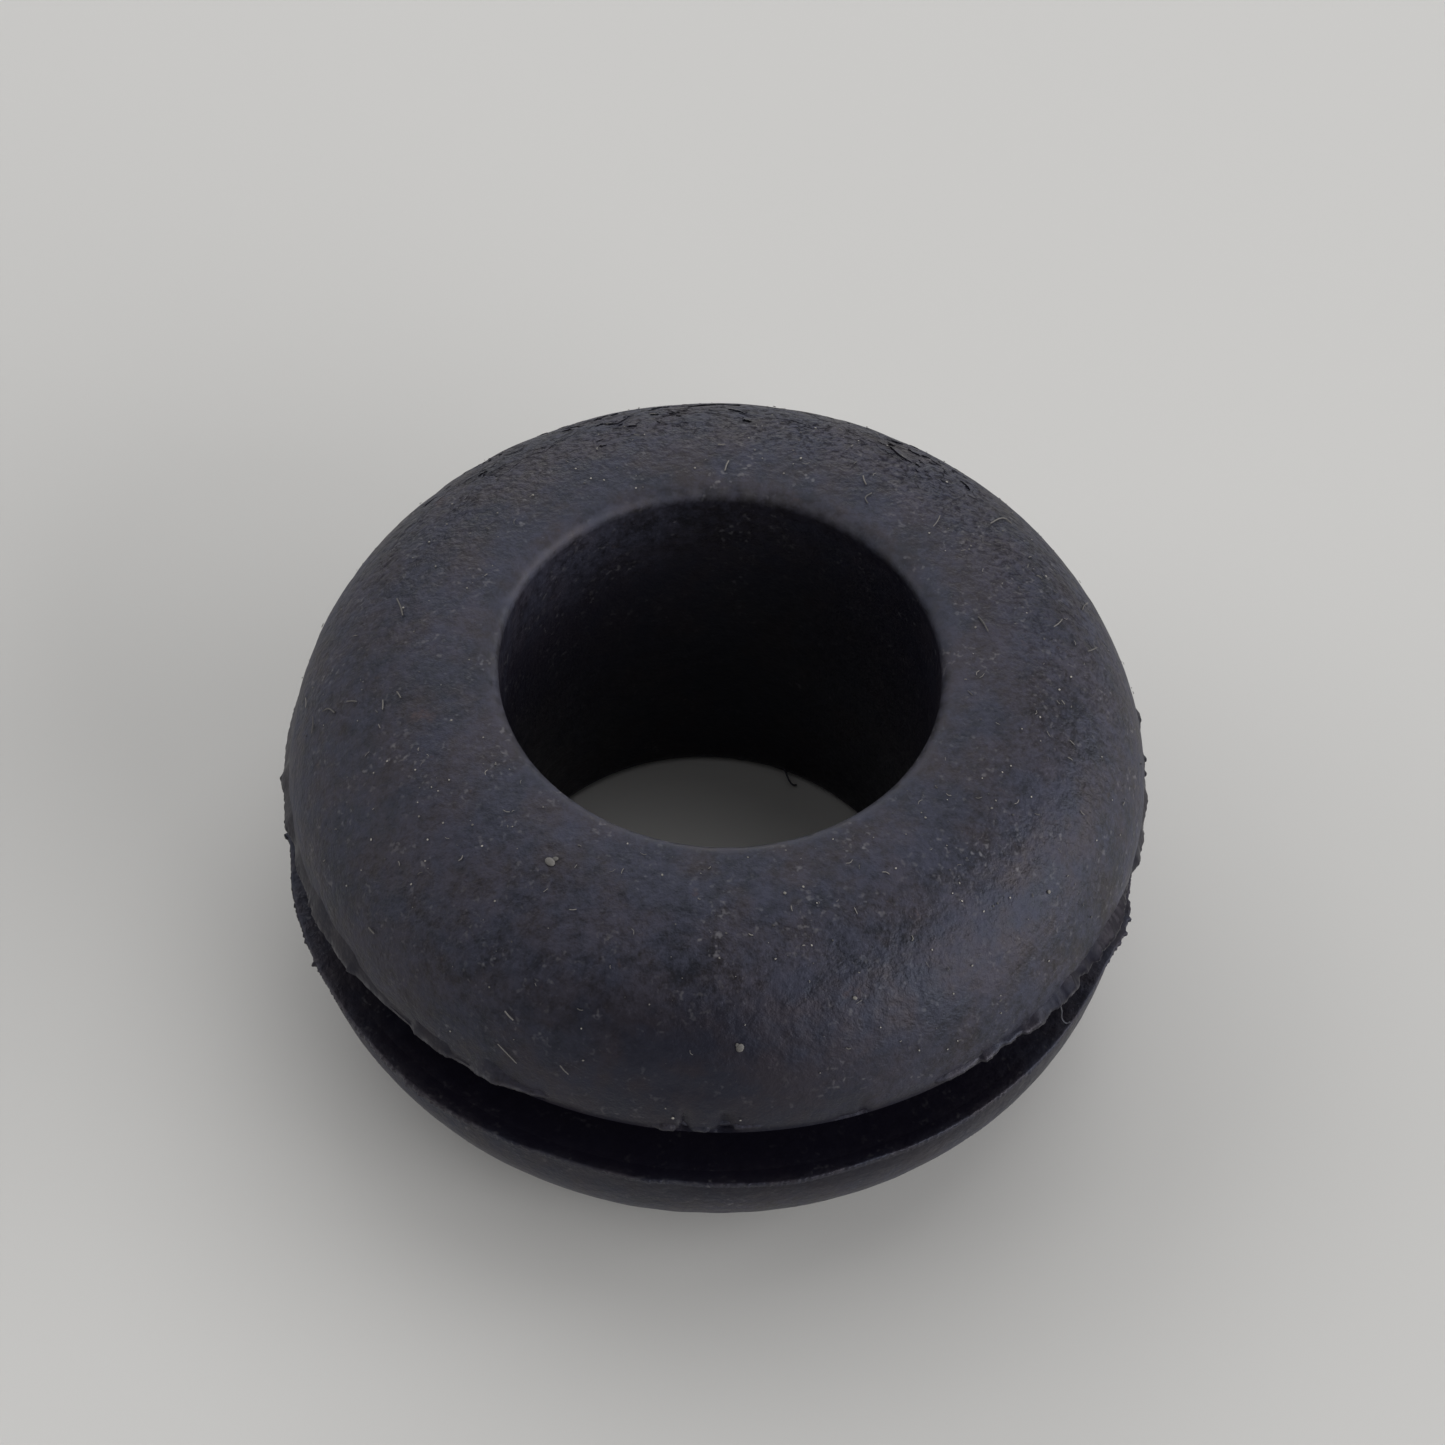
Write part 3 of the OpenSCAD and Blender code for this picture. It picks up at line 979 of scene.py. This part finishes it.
def addFlake(bm, edge, width, lift):
    f = flakeSettings
    run = sum((b - a).length for a, b in zip(edge, edge[1:]))
    least, most = f["steps"]
    steps = max(least, min(most, int(run / f["step"])))
    start = len(bm.verts)
    bmesh.ops.create_grid(bm, x_segments=steps, y_segments=3, size=1)
    bm.verts.ensure_lookup_table()
    plate = bm.verts[start:]
    seed = random.uniform(0, 99)
    for vert in plate:
        along, out = (vert.co.x + 1) / 2, (vert.co.y + 1) / 2
        at = along * (len(edge) - 1)
        i = min(int(at), len(edge) - 2)
        place = edge[i].lerp(edge[i + 1], at - i)
        inner = min(1 - f["taperEnd"], max(f["taperEnd"], along))
        taper = math.sqrt(max(0, math.sin(math.pi * inner)))
        fray = f["fray"] * noise.noise(Vector((along * run * f["frayFine"], seed, 0)))
        shoulder = place.y + fray * (1 - out) + width * taper * out
        r = landR + shoulderR * math.sin(min(f["leanMost"], (shoulder - landR) / shoulderR))
        uneven = 1 + f["uneven"] * noise.noise(Vector((along * run * f["unevenFine"], seed, 7)))
        raised = lift * taper * (1 - out) ** f["curl"] * uneven
        vert.co = facePoint(place.x, r, raised - f["sunk"] - f["rootSunk"] * out)[0]
    faces = list({face for vert in plate for face in vert.link_faces})
    bmesh.ops.solidify(bm, geom=faces, thickness=f["thickness"])


def makeFlakes(material):
    f = flakeSettings
    random.seed(f["seed"])
    bm = bmesh.new()
    low, high = f["creasesFrom"]
    for run, _, _ in faceFlaws["creases"]:
        if low < run[0][0] < high and run[0] != run[-1]:
            edge = soften([Vector((a, alongShoulder(r))) for a, r in run], 2)
            addFlake(bm, edge, random.uniform(*f["width"]), random.uniform(*f["lift"]))
    for i in range(f["small"]):
        middle = random.gauss(*f["smallAt"]) if i % 3 else random.gauss(*f["otherSmallAt"])
        shoulder = random.uniform(*f["smallOut"])
        half = math.degrees(random.uniform(*f["smallLength"]) / 2 / f["lengthAt"])
        tilt = random.uniform(-f["smallTilt"], f["smallTilt"])
        bow = random.uniform(0, f["smallBow"])
        edge = soften([
            Vector((middle - half, shoulder - tilt)), Vector((middle, shoulder - bow)),
            Vector((middle + half, shoulder + tilt))], 2)
        addFlake(bm, edge, random.uniform(*f["smallWidth"]), random.uniform(*f["smallLift"]))
    bmesh.ops.recalc_face_normals(bm, faces=bm.faces)
    piece = finishPiece(bm, "skinFlakes", material)


# Lint and dust lying on the upper face, placed by degrees round the axis and millimetres from it
lintSettings = {
    "seed": 5,
    "thickness": 0.042,
    "fibres": [
        [(93.0, 8.26), (91.5, 8.27)], [(90.6, 7.6), (91.4, 7.2)],
        [(57.7, 7.86), (58.4, 7.56), (56.7, 7.44)], [(61.9, 8.32), (60.0, 8.04)],
        [(43.9, 8.64), (42.3, 8.14)], [(38.1, 9.79), (39.4, 10.44), (37.6, 10.53)],
        [(19.2, 11.05), (22.2, 11.5)], [(13.3, 9.81), (15.4, 10.16)], [(9.9, 10.69), (11.9, 11.07)],
        [(16.2, 7.66), (11.8, 7.81)], [(167.9, 9.68), (172.1, 9.31)], [(-140.8, 12.2), (-139.5, 12.2)],
        [(-116.9, 12.37), (-113.9, 12.46)], [(-117.0, 11.94), (-115.5, 12.01)],
        [(-108.1, 12.33), (-106.8, 12.39)], [(-174.6, 11.7), (-171.8, 11.75)],
        [(-173.9, 11.41), (-173.8, 11.23), (-172.1, 11.06)], [(-172.8, 10.7), (-171.8, 10.41)],
        [(-169.9, 9.68), (-167.9, 9.72)], [(-170.6, 9.27), (-169.0, 9.18)],
        [(-179.7, 11.99), (-177.7, 11.95)]],
    "grains": [
        (98.4, 7.34, 0.09, 0.5), (113.6, 6.93, 0.08, 0.7), (119.5, 7.58, 0.07, 0.6),
        (75.4, 8.16, 0.09, 0.7), (62.9, 10.14, 0.08, 0.7), (163.5, 7.76, 0.07, 0.4),
        (149.1, 9.62, 0.08, 0.4), (154.0, 9.7, 0.07, 0.8), (134.4, 8.27, 0.09, 0.5),
        (144.0, 10.12, 0.07, 0.5), (-148.5, 11.17, 0.08, 0.9), (-138.9, 10.49, 0.07, 0.6),
        (-138.3, 11.07, 0.07, 0.8), (-147.5, 12.1, 0.08, 0.6), (-146.6, 11.7, 0.06, 0.7),
        (-141.5, 9.55, 0.07, 0.5), (25.1, 10.32, 0.09, 0.7), (3.1, 10.05, 0.08, 0.8),
        (-0.4, 9.7, 0.1, 0.7), (-39.4, 10.85, 0.07, 0.8), (-38.0, 12.25, 0.07, 0.7),
        (-47.6, 12.37, 0.08, 0.4), (-54.8, 12.38, 0.06, 0.8), (-56.4, 12.41, 0.06, 0.7),
        (-60.5, 12.29, 0.07, 0.6), (-105.2, 12.2, 0.07, 0.4), (-106.2, 11.76, 0.07, 0.8),
        (-124.0, 12.49, 0.08, 0.6), (-121.1, 8.53, 0.3, 0.3), (-121.0, 8.57, 0.17, 0.8),
        (-120.6, 8.38, 0.16, 0.2), (-84.7, 11.73, 0.27, 0.25), (-84.6, 11.75, 0.16, 0.75),
        (-85.1, 11.68, 0.12, 0.2), (-33.2, 11.38, 0.14, 0.4), (-93.0, 12.54, 0.12, 0.9),
        (-94.0, 12.5, 0.07, 0.4), (-84.45, 12.54, 0.08, 0.5), (-68.1, 11.14, 0.13, 0.4),
        (-75.3, 8.24, 0.12, 0.4)],
    "fibreBow": 0.07,
    "fibreShade": (0.15, 0.45),
    "fibreWidth": (0.65, 1.1),
    "smallFibres": 150,
    "smallFibreRing": (48, 154),  # a ring is between squares of distances, so that things lie evenly in it
    "smallFibreLift": 0.008,
    "smallFibreLength": (0.06, 0.22),
    "smallFibreBow": 0.3,
    "smallFibreShade": (0.1, 0.5),
    "smallFibreWidth": (0.012, 0.03),
    "smallGrains": 300,
    "smallGrainRing": (47, 155),
    "smallGrainRoot": (0.15, 0.29),  # root of the width, so that most are fine
    "smallShadeRoot": (0.1, 1),
    "grainLong": (0.35, 0.6),
    "grainWide": 0.4,
    "grainHigh": 0.22,
    "coarseGrain": 0.12,
}


def makeLintPieces(material):
    f = lintSettings
    random.seed(f["seed"])
    bm = bmesh.new()
    pale = bm.verts.layers.float.new("pale")

    for run in f["fibres"]:
        points = [facePoint(a, r, f["thickness"] / 2)[0] for a, r in run]
        if len(points) == 2:
            bow = random.uniform(-f["fibreBow"], f["fibreBow"])
            side = (points[1] - points[0]).cross(Vector((0, 0, 1))) * bow
            points.insert(1, (points[0] + points[1]) / 2 + side)
        shade = random.uniform(*f["fibreShade"])
        for vert in addStrand(bm, soften(points, 2), f["thickness"] * random.uniform(*f["fibreWidth"])):
            vert[pale] = shade

    # Grains as (degrees, distance from the axis, width, how pale)
    grains = list(f["grains"])
    for _ in range(f["smallGrains"]):
        grains.append((
            random.uniform(-180, 180), math.sqrt(random.uniform(*f["smallGrainRing"])),
            random.uniform(*f["smallGrainRoot"]) ** 2, random.uniform(*f["smallShadeRoot"]) ** 2))
    for azimuth, r, width, shade in grains:
        place, outward = facePoint(azimuth, r)
        turn = outward.to_track_quat("Z", "Y").to_matrix().to_4x4()
        long = random.uniform(*f["grainLong"])
        squash = Matrix.Diagonal((long * width, f["grainWide"] * width, f["grainHigh"] * width, 1))
        spin = Matrix.Rotation(random.uniform(0, math.tau), 4, "Z")
        made = bmesh.ops.create_icosphere(
            bm, subdivisions=2 if width > f["coarseGrain"] else 1, radius=1,
            matrix=Matrix.Translation(place) @ turn @ spin @ squash)
        for vert in made["verts"]:
            vert[pale] = shade

    for _ in range(f["smallFibres"]):
        azimuth, r = random.uniform(-180, 180), math.sqrt(random.uniform(*f["smallFibreRing"]))
        place, outward = facePoint(azimuth, r, f["smallFibreLift"])
        turn = outward.to_track_quat("Z", "Y").to_matrix()
        heading, length = random.uniform(0, math.tau), random.uniform(*f["smallFibreLength"])
        half = turn @ Vector((math.cos(heading), math.sin(heading), 0)) * length / 2
        bow = random.uniform(-f["smallFibreBow"], f["smallFibreBow"])
        bend = turn @ Vector((-math.sin(heading), math.cos(heading), 0)) * length * bow
        shade = random.uniform(*f["smallFibreShade"])
        points = soften([place - half, place + bend, place + half], 1)
        for vert in addStrand(bm, points, random.uniform(*f["smallFibreWidth"])):
            vert[pale] = shade
    finishPiece(bm, "lintAndDust", material)


# Threads of torn rubber: a curl hanging from the upper lip, and a whisker at the foot of the bore.
# Each is points of (degrees, distance from the axis, height), then its thickness.
threadWear = 0.4
threadRuns = {
    "curl": (
        [(-36.6, 12.6, 7.95), (-36.8, 12.79, 7.7), (-37.2, 12.85, 7.45), (-37.0, 13.0, 7.25),
         (-36.5, 13.08, 7.3)],
        0.045),
    "whisker": ([(69.7, 6.3, 0.5), (67.5, 6.1, 0.3), (65.6, 6.0, 0.2), (64.7, 6.15, 0.1)], 0.06),
}


def makeThreads(material):
    bm = bmesh.new()
    wornAndGlint = bm.verts.layers.float.new("wornAndGlint")
    for run, thickness in threadRuns.values():
        points = [
            Vector((r * math.cos(math.radians(a)), r * math.sin(math.radians(a)), z)) for a, r, z in run]
        for vert in addStrand(bm, soften(points, 2), thickness):
            vert[wornAndGlint] = threadWear
    piece = finishPiece(bm, "tornThreads", material)


rubber = makeRubber("carbonBlackRubberMoulded", rubberFinish)
makeGrommet(rubber)
makeFlash("upperFlash", upperFlash, rubber, 11)
makeFlash("lowerFlash", lowerFlash, rubber, 23)
makeFlakes(rubber)
makeLintPieces(makeLint("cottonLintPale", lintFinish))
makeThreads(rubber)
makeFloor()

# Soft lamps by direction in degrees round and above, then strength against a plain level.
studioLights = {
    "right": {"round": 0, "above": 14, "watts": 3.83},
    "frontRight": {"round": 322, "above": 21, "watts": 3.04},
    "back": {"round": 90, "above": 14, "watts": 1.85},
    "backLeft": {"round": 130, "above": 45, "watts": 1.29},
    "left": {"round": 180, "above": 14, "watts": 1.05},
    "highLeft": {"round": 180, "above": 40, "watts": 0.71},
    "overhead": {"round": 60, "above": 65, "watts": 1.54},
}
lampColour = "#ffffff"
lampSize = 0.6
lampDistance = 0.8
skyStrength = 0.26


def makeLight(name, values):
    turn, rise = math.radians(values["round"]), math.radians(values["above"])
    level = math.cos(rise)
    place = lampDistance * Vector((math.cos(turn) * level, math.sin(turn) * level, math.sin(rise)))
    data = bpy.data.lights.new(name, "AREA")
    data.shape = "DISK"
    data.size = lampSize
    data.energy = values["watts"]
    data.color = toLinear(lampColour)[:3]
    lamp = bpy.data.objects.new(name, data)
    lamp.location = place
    lamp.rotation_euler = place.to_track_quat("Z", "Y").to_euler()
    bpy.context.collection.objects.link(lamp)


for name, values in studioLights.items():
    makeLight(name, values)

world = bpy.data.worlds.new("studioWorld")
bpy.context.scene.world = world
world.use_nodes = True
world.node_tree.nodes["Background"].inputs["Color"].default_value = (1, 1, 1, 1)
world.node_tree.nodes["Background"].inputs["Strength"].default_value = skyStrength
bpy.context.scene.view_settings.view_transform = "Standard"
